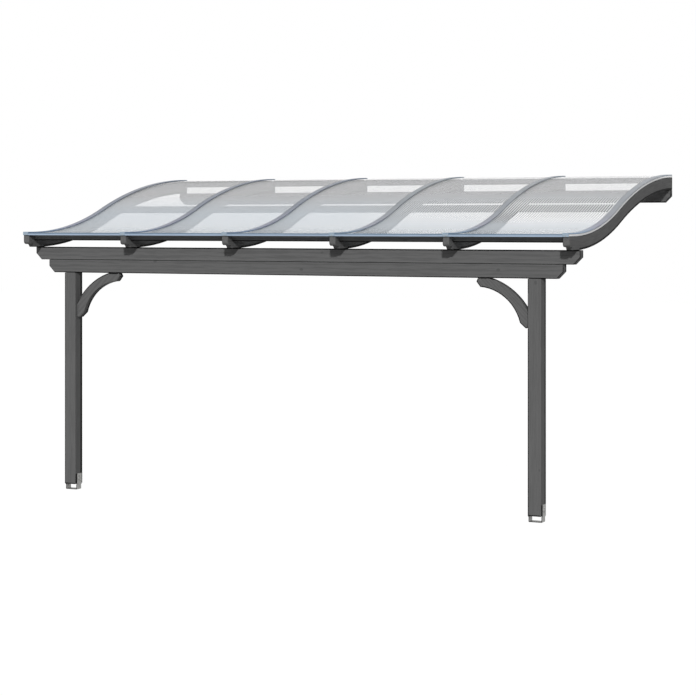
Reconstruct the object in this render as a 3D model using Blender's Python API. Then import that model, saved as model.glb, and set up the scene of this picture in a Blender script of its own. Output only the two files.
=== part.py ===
# Patio cover: a lean-to roof frame of timber with clear twin-wall panels.
# Metres, +Z up. The origin is the centre of the wall purlin's rear face.
# The wall is the plane y = 0 and the front of the cover looks along -Y.
import bpy
import bmesh
import math
from mathutils import Vector

# Clearance kept between two pieces that touch
GAP = 0.0003

# Overall sizes
ROOF_DEPTH = 2.890
BAY_COUNT = 5
BAY_PITCH = 1.070

# Rafters, cut to an S curve of two arcs that meet tangentially
RAFTER_WIDTH = 0.060
RAFTER_DEPTH = 0.118
RAFTER_FRONT_TOP = 2.396
CURVE_START = 0.120
CURVE_SPAN = 2.863
CURVE_RISE = 0.5434
LOWER_ARC_SHARE = 0.413
CURVE_STEPS = 30
STATION_MARGIN = 0.020

# Level bearings over the front of the beam and over the purlin
HEAD_DEPTH = 0.116
TAIL_DEPTH = 0.120
BEARING_RUN = 0.010
BEARING_REST = 0.024

# Shaped head at the front end of each rafter
HEAD_FACE_HEIGHT = 0.059
HEAD_NOSE_RADIUS = 0.030
HEAD_FILLET = 0.025
HEAD_COVE_RADIUS = 0.035
HEAD_ARC_STEPS = 6

# Posts, centred under the beams
POST_SIZE = 0.120
POST_CHAMFER = 0.004
POST_CENTRE_X = 2.322
POST_FRONT_SETBACK = 0.203
POST_FOOT = 0.052

# The pair of stacked front beams
BEAM_HEIGHT = 0.120
BEAM_THICKNESS = 0.080
UPPER_BEAM_LENGTH = 5.438
LOWER_BEAM_LENGTH = 5.142
BEAM_END_CUT = 0.060

# Curved knee braces
BRACE_THICKNESS = 0.070
BRACE_REACH = 0.460
BRACE_DROP = 0.4115
BRACE_TIP_IN = 0.014
BRACE_TIP_DOWN = 0.031
BRACE_FOOT_IN = 0.027
BRACE_FOOT_DOWN = 0.008
BRACE_OUTER_RADIUS = 0.600
BRACE_BEAM_CONTACT = 0.107
BRACE_POST_CONTACT = 0.123
BRACE_INNER_RADIUS = 0.400
BRACE_END_WIDTH = 0.058
BRACE_ARC_STEPS = 12

# Purlin bolted to the wall under the rafters
PURLIN_HEIGHT = 0.120
PURLIN_THICKNESS = 0.060
PURLIN_LENGTH = 5.410

# Battens between the rafters
BATTEN_THICKNESS = 0.058
BATTEN_HEIGHT = 0.053
FRONT_BATTEN_SETBACK = 0.085
MIDDLE_BATTEN_AT = 1.408

# Twin-wall roof panels
PANEL_JOINT = 0.020
PANEL_THICKNESS = 0.016
PANEL_OVERHANG = 0.010

# Cover strips over the joints between the panels
COVER_WIDTH = 0.056
COVER_TOP = 0.027
COVER_PLATE = 0.004
COVER_LIP = 0.006
COVER_EDGE = 0.003
COVER_CAP_THICKNESS = 0.0025
COVER_CAP_DROP = 0.005
COVER_CAP_LAP = 0.0015

# Edge profiles that close the front ends of the panels
EDGE_PLATE = 0.002
EDGE_TOP_LEG = 0.026
EDGE_LOWER_LEG = 0.008
EDGE_DRIP = 0.003

# Galvanised feet of bent flat bar
BRACKET_WIDTH = 0.075
BRACKET_THICKNESS = 0.006
BRACKET_TOP = 0.150


def clear_scene():
    for item in list(bpy.data.objects):
        bpy.data.objects.remove(item, do_unlink=True)


def make_material(name, colour, roughness, metallic=0.0, alpha=1.0):
    material = bpy.data.materials.new(name)
    material.use_nodes = True
    shader = material.node_tree.nodes["Principled BSDF"]
    shader.inputs["Base Color"].default_value = (*colour, 1.0)
    shader.inputs["Roughness"].default_value = roughness
    shader.inputs["Metallic"].default_value = metallic
    shader.inputs["Alpha"].default_value = alpha
    return material


# The S curve of the rafters' top edges
CURVE_ANGLE = 2.0 * math.atan(CURVE_RISE / CURVE_SPAN)
CURVE_RADII = CURVE_SPAN / math.sin(CURVE_ANGLE)
LOWER_RADIUS = CURVE_RADII * LOWER_ARC_SHARE
UPPER_RADIUS = CURVE_RADII - LOWER_RADIUS
CURVE_TURN = CURVE_START + LOWER_RADIUS * math.sin(CURVE_ANGLE)
CURVE_END = CURVE_START + CURVE_SPAN


def curve_slope(at):
    """Slope angle of the S curve at a distance back from the front."""
    if at <= CURVE_START:
        return 0.0
    if at <= CURVE_TURN:
        return math.asin((at - CURVE_START) / LOWER_RADIUS)
    if at < CURVE_END:
        return math.asin((CURVE_END - at) / UPPER_RADIUS)
    return 0.0


def curve_height(at):
    """Height above the ground of the rafters' top edge."""
    slope = curve_slope(at)
    if at <= CURVE_START:
        return RAFTER_FRONT_TOP
    if at <= CURVE_TURN:
        return RAFTER_FRONT_TOP + LOWER_RADIUS * (1.0 - math.cos(slope))
    return RAFTER_FRONT_TOP + CURVE_RISE - UPPER_RADIUS * (1.0 - math.cos(slope))


# Height of the origin above the ground, at the middle of the wall purlin
ORIGIN_HEIGHT = curve_height(ROOF_DEPTH) - TAIL_DEPTH - GAP - PURLIN_HEIGHT / 2.0


def row_y(from_front):
    """Row y of a point measured back from the rafters' front faces."""
    return from_front - ROOF_DEPTH


def row_z(above_ground):
    """Row z of a point measured up from the ground."""
    return above_ground - ORIGIN_HEIGHT


def above_curve(at, offset):
    """Height of a layer that lies a square distance above the curve."""
    return curve_height(at) + offset / math.cos(curve_slope(at))


def curve_stations(first, last):
    """Distances at which a curved piece is cut, from first to last."""
    inner = [CURVE_START + CURVE_SPAN * step / CURVE_STEPS for step in range(CURVE_STEPS + 1)]
    inner = [at for at in inner if first + STATION_MARGIN < at < last - STATION_MARGIN]
    return [first] + inner + [last]


def arc_points(centre, radius, start, end, steps):
    """Points of an arc in a plane, angles in degrees."""
    points = []
    for step in range(steps + 1):
        angle = math.radians(start + (end - start) * step / steps)
        points.append((centre[0] + radius * math.cos(angle), centre[1] + radius * math.sin(angle)))
    return points


def finish_object(name, mesh_data, material, smooth=False):
    mesh = bpy.data.meshes.new(name)
    bmesh.ops.recalc_face_normals(mesh_data, faces=mesh_data.faces)
    mesh_data.to_mesh(mesh)
    mesh_data.free()
    mesh.materials.append(material)
    if smooth:
        mesh.shade_smooth()
        mesh.set_sharp_from_angle(angle=math.radians(30.0))
    item = bpy.data.objects.new(name, mesh)
    bpy.context.collection.objects.link(item)
    return item


def extrude_outline(name, outline, across, low, high, material, smooth=False):
    """Closed solid of an outline pushed along one axis.

    across is the axis it is pushed along: x takes (y, z) outlines, y takes (x, z) and z takes (x, y).
    """
    mesh_data = bmesh.new()
    verts = []
    for a, b in outline:
        if across == "x":
            verts.append(mesh_data.verts.new((low, a, b)))
        elif across == "y":
            verts.append(mesh_data.verts.new((a, low, b)))
        else:
            verts.append(mesh_data.verts.new((a, b, low)))
    face = mesh_data.faces.new(verts)
    pushed = bmesh.ops.extrude_face_region(mesh_data, geom=[face])
    moved = [part for part in pushed["geom"] if isinstance(part, bmesh.types.BMVert)]
    step = {"x": (high - low, 0, 0), "y": (0, high - low, 0), "z": (0, 0, high - low)}[across]
    bmesh.ops.translate(mesh_data, verts=moved, vec=Vector(step))
    return finish_object(name, mesh_data, material, smooth)


def loft_along_curve(name, section, centre_x, first, last, material):
    """Solid with one section swept along the S curve.

    section holds (x, height above the rafter's top) points in order round the profile.
    """
    mesh_data = bmesh.new()
    rings = []
    for at in curve_stations(first, last):
        ring = []
        for x, offset in section:
            ring.append(mesh_data.verts.new((centre_x + x, row_y(at), row_z(above_curve(at, offset)))))
        rings.append(ring)
    count = len(section)
    for before, after in zip(rings, rings[1:]):
        for index in range(count):
            following = (index + 1) % count
            mesh_data.faces.new((before[index], before[following], after[following], after[index]))
    mesh_data.faces.new(list(reversed(rings[0])))
    mesh_data.faces.new(rings[-1])
    return finish_object(name, mesh_data, material, smooth=True)


def add_union(target, extra):
    """Weld a second closed shape onto a piece."""
    extra.hide_render = True
    extra.display_type = "WIRE"
    weld = target.modifiers.new("weld_" + extra.name, "BOOLEAN")
    weld.operation = "UNION"
    weld.solver = "EXACT"
    weld.object = extra


def box_outline(a_low, a_high, b_low, b_high):
    return [(a_low, b_low), (a_high, b_low), (a_high, b_high), (a_low, b_high)]


clear_scene()

stained_wood = make_material("stained_wood", (0.11, 0.11, 0.11), 0.65)
shade_wood = make_material("batten_wood", (0.12, 0.12, 0.12), 0.65)
clear_panel = make_material("clear_panel", (0.82, 0.86, 0.90), 0.12, alpha=0.35)
anodised = make_material("aluminium_trim", (0.50, 0.58, 0.68), 0.30, metallic=0.9)
galvanised = make_material("galvanised_steel", (0.48, 0.48, 0.47), 0.45, metallic=0.9)

# Where the timbers lie, back from the front and up from the ground
beam_front = POST_FRONT_SETBACK + (POST_SIZE - BEAM_THICKNESS) / 2.0
beam_back = beam_front + BEAM_THICKNESS
rafter_seat = RAFTER_FRONT_TOP - HEAD_DEPTH
upper_beam_top = rafter_seat - GAP
upper_beam_bottom = upper_beam_top - BEAM_HEIGHT
lower_beam_top = upper_beam_bottom - GAP
lower_beam_bottom = lower_beam_top - BEAM_HEIGHT
post_top = lower_beam_bottom - GAP
purlin_front = ROOF_DEPTH - PURLIN_THICKNESS
purlin_seat = curve_height(ROOF_DEPTH) - TAIL_DEPTH
purlin_top = purlin_seat - GAP
purlin_bottom = purlin_top - PURLIN_HEIGHT

# Rafters: the top curve, the underside a square depth below it, level bearings and a moulded head
top_edge = [(at, curve_height(at)) for at in curve_stations(0.0, ROOF_DEPTH)]
bearing_end = beam_front + BEARING_REST
under_stations = curve_stations(bearing_end + BEARING_RUN, purlin_front - 2.0 * BEARING_RUN)
under_edge = [(at, above_curve(at, -RAFTER_DEPTH)) for at in under_stations]
head_face_bottom = RAFTER_FRONT_TOP - HEAD_FACE_HEIGHT
fillet_height = head_face_bottom - HEAD_NOSE_RADIUS
cove_centre = (HEAD_NOSE_RADIUS + HEAD_FILLET, fillet_height - HEAD_COVE_RADIUS)
cove_end = math.degrees(math.asin((rafter_seat - cove_centre[1]) / HEAD_COVE_RADIUS))
nose = arc_points((HEAD_NOSE_RADIUS, head_face_bottom), HEAD_NOSE_RADIUS, 180.0, 270.0, HEAD_ARC_STEPS)
cove = arc_points(cove_centre, HEAD_COVE_RADIUS, 90.0, cove_end, HEAD_ARC_STEPS)
head_edge = nose + cove + [(bearing_end, rafter_seat)]
tail_edge = [(purlin_front - BEARING_RUN, purlin_seat), (ROOF_DEPTH, purlin_seat)]
rafter_outline = head_edge + under_edge + tail_edge + list(reversed(top_edge))
rafter_outline = [(row_y(a), row_z(b)) for a, b in rafter_outline]

rafter_centres = []
for index in range(BAY_COUNT + 1):
    centre = (index - BAY_COUNT / 2.0) * BAY_PITCH
    rafter_centres.append(centre)
    extrude_outline("rafter_%d" % (index + 1), rafter_outline, "x", centre - RAFTER_WIDTH / 2.0,
                    centre + RAFTER_WIDTH / 2.0, stained_wood, smooth=True)

# Front beams and wall purlin, with the lower corners of their ends cut off


def cut_ended_outline(length, bottom, top):
    half = length / 2.0
    return [
        (-half + BEAM_END_CUT, row_z(bottom)),
        (half - BEAM_END_CUT, row_z(bottom)),
        (half, row_z(bottom + BEAM_END_CUT)),
        (half, row_z(top)),
        (-half, row_z(top)),
        (-half, row_z(bottom + BEAM_END_CUT)),
    ]


extrude_outline("upper_beam", cut_ended_outline(UPPER_BEAM_LENGTH, upper_beam_bottom, upper_beam_top),
                "y", row_y(beam_front), row_y(beam_back), stained_wood)
extrude_outline("lower_beam", cut_ended_outline(LOWER_BEAM_LENGTH, lower_beam_bottom, lower_beam_top),
                "y", row_y(beam_front), row_y(beam_back), stained_wood)
extrude_outline("wall_purlin", cut_ended_outline(PURLIN_LENGTH, purlin_bottom, purlin_top),
                "y", row_y(purlin_front), row_y(ROOF_DEPTH), stained_wood)

# Posts with eased edges, their bent steel feet and the knee braces
post_back = POST_FRONT_SETBACK + POST_SIZE
brace_front = POST_FRONT_SETBACK + (POST_SIZE - BRACE_THICKNESS) / 2.0
half_post = POST_SIZE / 2.0

for side_name, side in (("left", -1.0), ("right", 1.0)):
    post_x = side * POST_CENTRE_X
    left = post_x - half_post
    right = post_x + half_post
    front = row_y(POST_FRONT_SETBACK)
    back = row_y(post_back)
    post_outline = [
        (left + POST_CHAMFER, front), (right - POST_CHAMFER, front),
        (right, front + POST_CHAMFER), (right, back - POST_CHAMFER),
        (right - POST_CHAMFER, back), (left + POST_CHAMFER, back),
        (left, back - POST_CHAMFER), (left, front + POST_CHAMFER),
    ]
    extrude_outline("post_" + side_name, post_outline, "z", row_z(POST_FOOT), row_z(post_top), stained_wood)

    # The bracket is one flat bar bent up on both sides, stepped out under the post
    thick = BRACKET_THICKNESS
    wide_in = half_post + GAP
    wide_out = wide_in + thick
    base_out = wide_in
    base_in = base_out - thick
    step_high = POST_FOOT - GAP
    step_low = step_high - (wide_in - base_in)
    half_bar = [
        (base_in, thick), (base_in, step_low), (wide_in, step_high), (wide_in, BRACKET_TOP),
        (wide_out, BRACKET_TOP), (wide_out, step_high - thick * 0.4), (base_out, step_low - thick * 0.4),
        (base_out, thick * 0.6), (base_out - thick * 0.6, 0.0),
    ]
    other_half = [(-a, b) for a, b in reversed(half_bar)]
    bar_outline = [(post_x + a, row_z(b)) for a, b in half_bar + other_half]
    bracket_front = row_y(POST_FRONT_SETBACK + half_post - BRACKET_WIDTH / 2.0)
    extrude_outline("post_bracket_" + side_name, bar_outline, "y", bracket_front,
                    bracket_front + BRACKET_WIDTH, galvanised)

    # The brace springs from the post's inner face, u inwards and v down from the beam
    def chord_arc(start, end, radius, steps, bulge):
        middle = ((start[0] + end[0]) / 2.0, (start[1] + end[1]) / 2.0)
        across = (end[0] - start[0], end[1] - start[1])
        length = math.hypot(across[0], across[1])
        rise = math.sqrt(radius * radius - length * length / 4.0)
        centre = (middle[0] + bulge * across[1] / length * rise, middle[1] - bulge * across[0] / length * rise)
        first = math.atan2(start[1] - centre[1], start[0] - centre[0])
        last = math.atan2(end[1] - centre[1], end[0] - centre[0])
        turn = (last - first + math.pi) % (2.0 * math.pi) - math.pi
        points = []
        for step in range(steps + 1):
            angle = first + turn * step / steps
            points.append((centre[0] + radius * math.cos(angle), centre[1] + radius * math.sin(angle)))
        return points

    beam_end = (BRACE_REACH, GAP)
    beam_start = (BRACE_REACH - BRACE_BEAM_CONTACT, GAP)
    post_start = (GAP, BRACE_DROP - BRACE_POST_CONTACT)
    post_end = (GAP, BRACE_DROP)
    beam_tip = (BRACE_REACH + BRACE_TIP_IN, BRACE_TIP_DOWN)
    post_tip = (BRACE_FOOT_IN, BRACE_DROP + BRACE_FOOT_DOWN)
    beam_low = (beam_tip[0] - BRACE_END_WIDTH * 0.62, beam_tip[1] + BRACE_END_WIDTH * 0.78)
    post_low = (post_tip[0] + BRACE_END_WIDTH * 0.90, post_tip[1] - BRACE_END_WIDTH * 0.80)
    inner = chord_arc(beam_low, post_low, BRACE_INNER_RADIUS, BRACE_ARC_STEPS, 1.0)
    outer = chord_arc(post_start, beam_start, BRACE_OUTER_RADIUS, BRACE_ARC_STEPS, -1.0)
    brace_outline = [beam_end, beam_tip] + inner + [post_tip, post_end] + outer
    face_x = post_x - side * half_post
    brace_outline = [(face_x - side * u, row_z(lower_beam_bottom - v)) for u, v in brace_outline]
    extrude_outline("brace_" + side_name, brace_outline, "y", row_y(brace_front),
                    row_y(brace_front + BRACE_THICKNESS), stained_wood, smooth=True)

# Battens between the rafters: level at the front and rear, on the slope at the middle
middle_slope = curve_slope(MIDDLE_BATTEN_AT)
rear_batten_at = ROOF_DEPTH - BATTEN_THICKNESS


def batten_outline(kind):
    if kind == "front":
        top = curve_height(FRONT_BATTEN_SETBACK)
        return box_outline(row_y(FRONT_BATTEN_SETBACK), row_y(FRONT_BATTEN_SETBACK + BATTEN_THICKNESS),
                           row_z(top - BATTEN_HEIGHT), row_z(top))
    if kind == "rear":
        top = curve_height(rear_batten_at)
        return box_outline(row_y(rear_batten_at), row_y(ROOF_DEPTH), row_z(top - BATTEN_HEIGHT), row_z(top))
    along = (math.cos(middle_slope), math.sin(middle_slope))
    down = (math.sin(middle_slope), -math.cos(middle_slope))
    half = BATTEN_THICKNESS / 2.0
    base = (row_y(MIDDLE_BATTEN_AT), row_z(curve_height(MIDDLE_BATTEN_AT)))
    corners = ((-half, BATTEN_HEIGHT), (half, BATTEN_HEIGHT), (half, 0.0), (-half, 0.0))
    return [(base[0] + a * along[0] + b * down[0], base[1] + a * along[1] + b * down[1]) for a, b in corners]


for index in range(BAY_COUNT):
    low = rafter_centres[index] + RAFTER_WIDTH / 2.0 + GAP
    high = rafter_centres[index + 1] - RAFTER_WIDTH / 2.0 - GAP
    for kind in ("front", "middle", "rear"):
        extrude_outline("%s_batten_%d" % (kind, index + 1), batten_outline(kind), "x", low, high, shade_wood)

# Roof panels bent over the rafters
panel_low = GAP
panel_high = panel_low + PANEL_THICKNESS
panel_front = -PANEL_OVERHANG
for index in range(BAY_COUNT):
    left = rafter_centres[index] + PANEL_JOINT / 2.0
    right = rafter_centres[index + 1] - PANEL_JOINT / 2.0
    if index == 0:
        left = rafter_centres[0] - RAFTER_WIDTH / 2.0
    if index == BAY_COUNT - 1:
        right = rafter_centres[BAY_COUNT] + RAFTER_WIDTH / 2.0
    panel_section = box_outline(left, right, panel_low, panel_high)
    loft_along_curve("roof_panel_%d" % (index + 1), panel_section, 0.0, panel_front, ROOF_DEPTH, clear_panel)

# Cover strips: an aluminium channel whose lips press on the panels, with a closed front end
lip_low = panel_high + GAP
cover_half = COVER_WIDTH / 2.0
plate_low = COVER_TOP - COVER_PLATE
lip_in = cover_half - COVER_LIP
cap_back = -PANEL_OVERHANG - GAP
cap_front = cap_back - COVER_CAP_THICKNESS
cover_section = [
    (-cover_half + COVER_EDGE, COVER_TOP), (cover_half - COVER_EDGE, COVER_TOP),
    (cover_half, COVER_TOP - COVER_EDGE), (cover_half, lip_low),
    (lip_in, lip_low), (lip_in, plate_low),
    (-lip_in, plate_low), (-lip_in, lip_low),
    (-cover_half, lip_low), (-cover_half, COVER_TOP - COVER_EDGE),
]
for index in range(BAY_COUNT + 1):
    cover = loft_along_curve("cover_strip_%d" % (index + 1), cover_section, rafter_centres[index],
                             cap_back - COVER_CAP_LAP, ROOF_DEPTH, anodised)
    cap_top = RAFTER_FRONT_TOP + COVER_TOP
    cap_bottom = RAFTER_FRONT_TOP - COVER_CAP_DROP
    cap_outline = [
        (rafter_centres[index] - cover_half, row_z(cap_bottom)),
        (rafter_centres[index] + cover_half, row_z(cap_bottom)),
        (rafter_centres[index] + cover_half, row_z(cap_top - COVER_EDGE)),
        (rafter_centres[index] + cover_half - COVER_EDGE, row_z(cap_top)),
        (rafter_centres[index] - cover_half + COVER_EDGE, row_z(cap_top)),
        (rafter_centres[index] - cover_half, row_z(cap_top - COVER_EDGE)),
    ]
    cap = extrude_outline("cover_cap_%d" % (index + 1), cap_outline, "y", row_y(cap_front),
                          row_y(cap_back), anodised)
    add_union(cover, cap)

# Front edge profiles: a U of thin aluminium round each panel's front end
edge_low = RAFTER_FRONT_TOP - EDGE_PLATE
edge_high = RAFTER_FRONT_TOP + panel_high + GAP + EDGE_PLATE
edge_front = -PANEL_OVERHANG - GAP - EDGE_PLATE
edge_outline = [
    (edge_front, edge_low - EDGE_DRIP), (edge_front + EDGE_PLATE, edge_low - EDGE_DRIP),
    (edge_front + EDGE_PLATE, edge_low), (edge_front + EDGE_LOWER_LEG, edge_low),
    (edge_front + EDGE_LOWER_LEG, edge_low + EDGE_PLATE), (edge_front + EDGE_PLATE, edge_low + EDGE_PLATE),
    (edge_front + EDGE_PLATE, edge_high - EDGE_PLATE), (edge_front + EDGE_TOP_LEG, edge_high - EDGE_PLATE),
    (edge_front + EDGE_TOP_LEG, edge_high), (edge_front, edge_high),
]
edge_outline = [(row_y(a), row_z(b)) for a, b in edge_outline]
for index in range(BAY_COUNT):
    low = rafter_centres[index] + cover_half + GAP
    high = rafter_centres[index + 1] - cover_half - GAP
    extrude_outline("front_edge_profile_%d" % (index + 1), edge_outline, "x", low, high, anodised)
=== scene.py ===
import bpy
import bmesh
import math
from mathutils import Vector, Matrix


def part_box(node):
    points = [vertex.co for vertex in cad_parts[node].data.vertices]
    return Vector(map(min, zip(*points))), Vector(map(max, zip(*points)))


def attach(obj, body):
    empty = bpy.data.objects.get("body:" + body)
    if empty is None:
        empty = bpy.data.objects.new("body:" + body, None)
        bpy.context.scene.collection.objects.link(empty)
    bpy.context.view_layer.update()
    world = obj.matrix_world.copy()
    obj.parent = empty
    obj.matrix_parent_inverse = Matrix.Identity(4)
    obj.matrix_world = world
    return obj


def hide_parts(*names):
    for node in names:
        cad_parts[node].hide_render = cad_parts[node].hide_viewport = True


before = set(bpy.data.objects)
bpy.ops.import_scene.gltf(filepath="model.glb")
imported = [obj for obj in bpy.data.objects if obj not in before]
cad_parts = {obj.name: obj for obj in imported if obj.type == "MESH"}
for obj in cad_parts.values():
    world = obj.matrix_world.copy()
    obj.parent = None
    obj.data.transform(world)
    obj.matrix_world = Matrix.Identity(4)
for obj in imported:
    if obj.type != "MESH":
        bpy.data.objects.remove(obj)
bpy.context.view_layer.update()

print("frame loaded:", len(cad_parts), "nodes")

# Where the timbers stand, read from the frame
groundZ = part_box("post_bracket_left")[0].z
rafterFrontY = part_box("rafter_1")[0].y
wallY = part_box("wall_purlin")[1].y
roofDepth = wallY - rafterFrontY
bayCount = 5


def middleX(node):
    low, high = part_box(node)
    return (low.x + high.x) / 2


rafterCentres = [middleX("rafter_%d" % n) for n in range(1, bayCount + 2)]

# The rafters' S curve: level, a hollow arc, a crowned arc, with one tangent between the arcs
roofCurve = {
    "frontTop": 2.396,    # height of the rafters' top at the front
    "start": 0.120,       # how far back the hollow arc starts
    "span": 2.863,        # depth that the two arcs cover together
    "rise": 0.5434,
    "lowerShare": 0.413,  # the hollow arc's share of the two radii
}
curveAngle = 2 * math.atan(roofCurve["rise"] / roofCurve["span"])
curveRadii = roofCurve["span"] / math.sin(curveAngle)
lowerRadius = curveRadii * roofCurve["lowerShare"]
upperRadius = curveRadii - lowerRadius
curveTurn = roofCurve["start"] + lowerRadius * math.sin(curveAngle)
curveEnd = roofCurve["start"] + roofCurve["span"]
frontTopZ = roofCurve["frontTop"] + groundZ


def slopeAt(back):
    # back is the distance behind the rafter fronts
    if back <= roofCurve["start"] or back >= curveEnd:
        return 0.0
    if back <= curveTurn:
        return math.asin((back - roofCurve["start"]) / lowerRadius)
    return math.asin((curveEnd - back) / upperRadius)


def rafterTopAt(back):
    height = roofCurve["frontTop"]
    if back > curveTurn:
        height += roofCurve["rise"] - upperRadius * (1 - math.cos(slopeAt(back)))
    elif back > roofCurve["start"]:
        height += lowerRadius * (1 - math.cos(slopeAt(back)))
    return height + groundZ


def roofStations(first, last, step=0.08):
    count = max(2, round((last - first) / step))
    return [first + (last - first) * n / count for n in range(count + 1)]


def bendToRoof(bm):
    # x stays, y is the distance back from the rafter fronts, z the height square to the curve
    for vert in bm.verts:
        back = vert.co.y
        vert.co.y = rafterFrontY + back
        vert.co.z = rafterTopAt(back) + vert.co.z / math.cos(slopeAt(back))


# Node helpers for the materials

def newMaterial(name):
    material = bpy.data.materials.new(name)
    material.use_nodes = True
    return material, material.node_tree.nodes, material.node_tree.links


def mapped(nodes, links, source, scale, place=(0, 0, 0)):
    mapping = nodes.new("ShaderNodeMapping")
    mapping.inputs["Scale"].default_value = scale
    mapping.inputs["Location"].default_value = place
    links.new(source, mapping.inputs["Vector"])
    return mapping.outputs["Vector"]


def noise(nodes, links, vector, scale, detail, roughness):
    texture = nodes.new("ShaderNodeTexNoise")
    texture.inputs["Scale"].default_value = scale
    texture.inputs["Detail"].default_value = detail
    texture.inputs["Roughness"].default_value = roughness
    links.new(vector, texture.inputs["Vector"])
    return texture.outputs["Fac"]


def mathNode(nodes, links, operation, first, second):
    node = nodes.new("ShaderNodeMath")
    node.operation = operation
    for socket, value in zip(node.inputs, (first, second)):
        if isinstance(value, (int, float)):
            socket.default_value = value
        else:
            links.new(value, socket)
    return node.outputs[0]


def ramp(nodes, links, factor, stops):
    node = nodes.new("ShaderNodeValToRGB")
    node.color_ramp.elements[0].position = stops[0][0]
    node.color_ramp.elements[0].color = (*stops[0][1], 1)
    node.color_ramp.elements[1].position = stops[-1][0]
    node.color_ramp.elements[1].color = (*stops[-1][1], 1)
    for position, colour in stops[1:-1]:
        node.color_ramp.elements.new(position).color = (*colour, 1)
    links.new(factor, node.inputs["Fac"])
    return node.outputs["Color"]


def remap(nodes, links, value, fromRange=(0.0, 1.0), toRange=(0.0, 1.0)):
    node = nodes.new("ShaderNodeMapRange")
    for name, number in zip(("From Min", "From Max", "To Min", "To Max"), (*fromRange, *toRange)):
        node.inputs[name].default_value = number
    links.new(value, node.inputs["Value"])
    return node.outputs["Result"]


def sumOf(nodes, links, *parts):
    # adds up pairs of a value and its share
    total = None
    for value, share in parts:
        part = mathNode(nodes, links, "MULTIPLY", value, share)
        total = part if total is None else mathNode(nodes, links, "ADD", total, part)
    return total


def stepsAlong(nodes, links, distance, steps):
    # a ramp between the first and last distance
    first, last = steps[0][0], steps[-1][0]
    return ramp(nodes, links, remap(nodes, links, distance, (first, last)),
                [((place - first) / (last - first), value) for place, value in steps])


def blend(nodes, links, kind, factor, first, second):
    # kind is FLOAT or RGBA
    node = nodes.new("ShaderNodeMix")
    node.data_type = kind
    place = 2 if kind == "FLOAT" else 6
    sockets = (node.inputs[0], node.inputs[place], node.inputs[place + 1])
    for socket, value in zip(sockets, (factor, first, second)):
        if isinstance(value, (int, float)):
            socket.default_value = value
        elif isinstance(value, tuple):
            socket.default_value = (*value, 1)
        else:
            links.new(value, socket)
    return node.outputs[0 if kind == "FLOAT" else 2]


def multiplied(nodes, links, first, second):
    node = nodes.new("ShaderNodeMix")
    node.data_type = "RGBA"
    node.blend_type = "MULTIPLY"
    node.clamp_result = False
    node.inputs[0].default_value = 1.0
    links.new(first, node.inputs[6])
    links.new(second, node.inputs[7])
    return node.outputs[2]


def objectPlace(nodes):
    return nodes.new("ShaderNodeTexCoord").outputs["Object"]


def objectAxes(nodes, links):
    axes = nodes.new("ShaderNodeSeparateXYZ")
    links.new(objectPlace(nodes), axes.inputs["Vector"])
    return axes.outputs


def bump(nodes, links, height, distance, strength):
    node = nodes.new("ShaderNodeBump")
    node.inputs["Distance"].default_value = distance
    node.inputs["Strength"].default_value = strength
    links.new(height, node.inputs["Height"])
    return node.outputs["Normal"]


def grey(value):
    return (value, value, value)


def shaded(colour, share):
    return tuple(channel * share for channel in colour)


# Grey stained softwood, read along the fibre from each timber's own grain attribute
woodLook = {
    "tone": 0.111,            # plain stained face
    # the upper beam's face, painted lighter against the shade under the roof
    "beamPaintedLightTone": 0.121,
    "shadeLineTone": 0.005,        # eased edges darkened as painted shade, near black
    "endTone": 0.110,         # end grain
    "contrast": 0.095,
    "shadeLineContrast": 0.25,
    "endContrast": 0.22,
    # places on the ramp, each with its tone's distance from the plain one in contrasts
    "toneStops": ((0.10, -2.2), (0.38, -1.0), (0.60, 1.0), (0.80, 1.5)),
    "streaks": (0.9, 24, 24),  # how close together along the fibre and across it
    "pores": (9, 420, 420),
    "patches": (1.6, 4, 4),
    "shares": (0.30, 0.34, 0.20, 0.26),  # of rings, streaks, pores and patches in the tone
    "ringScale": 34.0,
    "ringWander": 5.0,
    "pith": (0.0, 0.094, -0.061),
    "knots": (4, 6, 6),
    "knotReach": 0.085,
    "knotDepth": -0.42,
    "roughness": (0.62, 0.80),
    "specular": 0.10,
    "relief": 0.0007,
    "grainSteps": (3.71, 0.317, 0.211),  # from one timber's stretch of grain to the next
    "grainLimits": (0.23, 0.19),         # the steps across the fibre stay within these
}


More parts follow.
